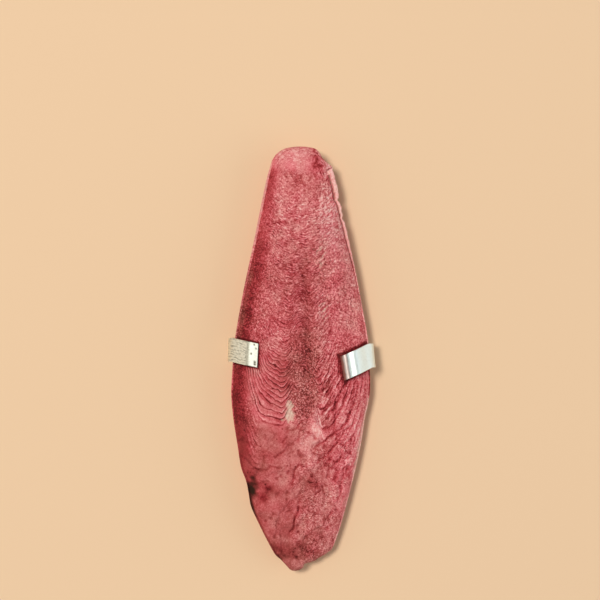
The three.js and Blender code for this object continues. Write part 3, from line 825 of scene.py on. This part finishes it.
# The marks' red is grime with painted shade at the crease and the right tab's bend, green is a
# painted reflection of the red bone on the right tip, and blue is tarnish with painted shade.
for i, vertex in enumerate(strip_bmesh.verts):
    vertex.co = Vector(shaped[i]) * MM
    vertex[marks_layer] = (min(dark[i], 1.0), painted_bone_reflection[i], tarnish_and_shade[i], 1.0)
    vertex[sheet_layer] = (run[i], beside[i], 0.0)
for face in strip_bmesh.faces:
    face.smooth = True
strip_mesh = bpy.data.meshes.new("bent_tin_strip")
strip_bmesh.to_mesh(strip_mesh)
strip_bmesh.free()
strip = bpy.data.objects.new("bent_tin_strip", strip_mesh)
bpy.context.scene.collection.objects.link(strip)
thick = strip.modifiers.new("sheet_thickness", "SOLIDIFY")
thick.thickness = STRIP_THICKNESS * MM
thick.offset = 0.0
sheared = strip.modifiers.new("sheared_edge", "BEVEL")
sheared.width = 0.1 * MM
sheared.segments = 2
sheared.limit_method = "ANGLE"
sheared.angle_limit = math.radians(50)

# Cold-rolled tinned sheet: a real metal, dulled by handling, so its reflections are broad and
# soft. Fine rolling marks run along it, and grime stays in the embossed grooves; the crease and
# the right tab's bend are darkened as painted shade.
tin = bpy.data.materials.new("cold_rolled_tinned_sheet")
tin.use_nodes = True
tree = tin.node_tree
tree.nodes.clear()
marks = add_node(tree, "ShaderNodeAttribute", attribute_name="strip_marks"), "Color"
mark_parts = add_node(tree, "ShaderNodeSeparateColor", {"Color": marks})
sheet_place = add_node(tree, "ShaderNodeAttribute", attribute_name="sheet_place"), "Vector"
# Rolling marks 0.25 mm wide and 4 mm long, and cloudy handling marks about 3 mm across.
rolled_sizes = {"Vector": sheet_place, "Scale": (0.25, 4.0, 1.0)}
rolled_place = add_node(tree, "ShaderNodeMapping", rolled_sizes), "Vector"
rolled = cloud(tree, rolled_place, 1.0, 3.0, 0.6)
handled = cloud(tree, sheet_place, 0.35, 4.0, 0.6)
marks_noise = cloud(tree, sheet_place, 1.3, 3.0, 0.7)
tin_colour = blend(tree, handled, linear("#e4f0ed"), linear("#f1fbf9"))
# Tarnish with painted shade on the left tab.
tin_colour = blend(tree, (mark_parts, "Blue"), tin_colour, linear("#f0ebd9"))
grime_and_shade = combine(tree, "MULTIPLY_ADD", marks_noise, 0.5, (mark_parts, "Red"))
grime_and_shade_amount = remap(tree, grime_and_shade, 0.25, 1.25)
# Grime, with painted shade at the crease and the right tab's bend.
tin_colour = blend(tree, grime_and_shade_amount, tin_colour, linear("#63604f"))
# The painted reflection of the red bone on the right tip.
tin_colour = blend(tree, (mark_parts, "Green"), tin_colour, linear("#9c6152"))
dulled = remap(tree, rolled, 0.3, 0.7, 0.46, 0.6)
rolled_bump = bump(tree, rolled, 0.25, 0.03)
handled_bump = bump(tree, handled, 0.3, 0.1, rolled_bump)
tin_looks = {"Base Color": tin_colour, "Metallic": 1.0, "Roughness": dulled, "Normal": handled_bump}
metal = add_node(tree, "ShaderNodeBsdfPrincipled", tin_looks)
add_node(tree, "ShaderNodeOutputMaterial", {"Surface": (metal, 0)})
strip_mesh.materials.append(tin)
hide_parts("holder_clip")
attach(strip, "root")


# The floor is a plain pale sheet under the object, for its shadow.
floor_bmesh = bmesh.new()
bmesh.ops.create_grid(floor_bmesh, x_segments=1, y_segments=1, size=1.5)
floor_mesh = bpy.data.meshes.new("floor")
floor_bmesh.to_mesh(floor_mesh)
floor_bmesh.free()
floor = bpy.data.objects.new("floor", floor_mesh)
bpy.context.scene.collection.objects.link(floor)
paper = bpy.data.materials.new("matt_pale_paper")
paper.use_nodes = True
paper_looks = paper.node_tree.nodes["Principled BSDF"].inputs
paper_looks["Base Color"].default_value = linear("#e8c8a5")
paper_looks["Roughness"].default_value = 0.9
floor_mesh.materials.append(paper)


# The camera looks straight down from above, through a long lens.
VIEW_WIDTH = 0.212
VIEW_MIDDLE = (-0.00044, 0.02094)
MIDDLE_HEIGHT = 0.008
camera_data = bpy.data.cameras.new("camera")
camera_data.sensor_width = 36
camera_data.lens = 110
camera = bpy.data.objects.new("camera", camera_data)
camera_height = MIDDLE_HEIGHT + VIEW_WIDTH * camera_data.lens / camera_data.sensor_width
camera.location = (*VIEW_MIDDLE, camera_height)
bpy.context.scene.collection.objects.link(camera)
bpy.context.scene.camera = camera


# Soft studio light: a soft box high up and to the left gives a short soft shadow on the right,
# and two broad weak panels at the sides give the tin something bright to reflect.
def soft_box(name, place, size, power, colour):
    """A square light turned to the object."""
    data = bpy.data.lights.new(name, "AREA")
    data.shape = "SQUARE"
    data.size = size
    data.energy = power
    data.color = linear(colour)[:3]
    light = bpy.data.objects.new(name, data)
    light.location = place
    light.rotation_euler = (Vector((0, 0, 0)) - Vector(place)).to_track_quat("-Z", "Y").to_euler()
    bpy.context.scene.collection.objects.link(light)


soft_box("key_light", (-0.56, 0.36, 1.88), 0.45, 27.6, "#fffaf2")
soft_box("right_panel", (1.2, -0.1, 0.45), 1.2, 5.4, "#f4fbff")
soft_box("left_panel", (-1.3, -0.2, 0.5), 1.0, 2.0, "#fffaf0")
world = bpy.data.worlds.new("surround")
world.use_nodes = True
world.node_tree.nodes["Background"].inputs["Color"].default_value = linear("#fffdf8")
world.node_tree.nodes["Background"].inputs["Strength"].default_value = 0.28
bpy.context.scene.world = world
bpy.context.scene.view_settings.view_transform = "Standard"
